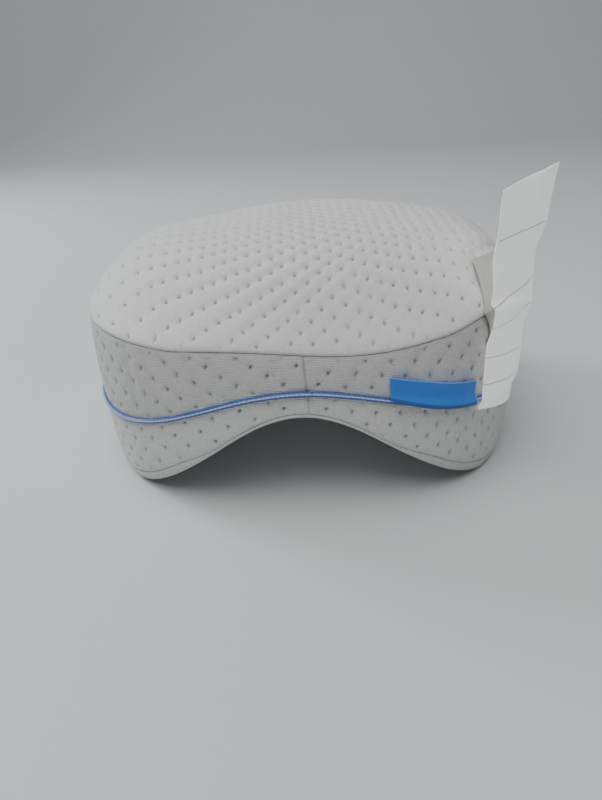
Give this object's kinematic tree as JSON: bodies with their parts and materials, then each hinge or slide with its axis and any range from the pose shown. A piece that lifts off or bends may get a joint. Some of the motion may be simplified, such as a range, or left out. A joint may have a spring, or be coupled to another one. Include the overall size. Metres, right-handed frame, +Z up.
{
  "type": "knee pillow",
  "caption": "Moulded foam leg pillow in a dimpled knit cover: rounded-square plan, domed top, arched leg channel between two lobes, piped side seam and bare sewn labels.",
  "frame": {"origin": "on the surface that the pillow stands on, under the middle of its plan", "axes": "+X across the two lobes towards the side that carries the labels, -Y out of the front with the leg channel running front to back, +Z up"},
  "size_m": [0.2675, 0.2426, 0.17],
  "materials": {
    "cover_knit": "white dimpled double-knit cover, soft sheen",
    "piping_satin": "blue satin cord",
    "label_blue": "blue woven tape, bare",
    "label_white": "white woven tape, bare",
    "label_cream": "cream tape, bare"
  },
  "bodies": {
    "root": {"top_panel": "cover_knit", "upper_band": "cover_knit", "lower_band": "cover_knit", "bottom_panel": "cover_knit", "piping": "piping_satin", "blue_label": "label_blue", "long_label": "label_white", "short_label": "label_cream"}
  },
  "joints": []
}
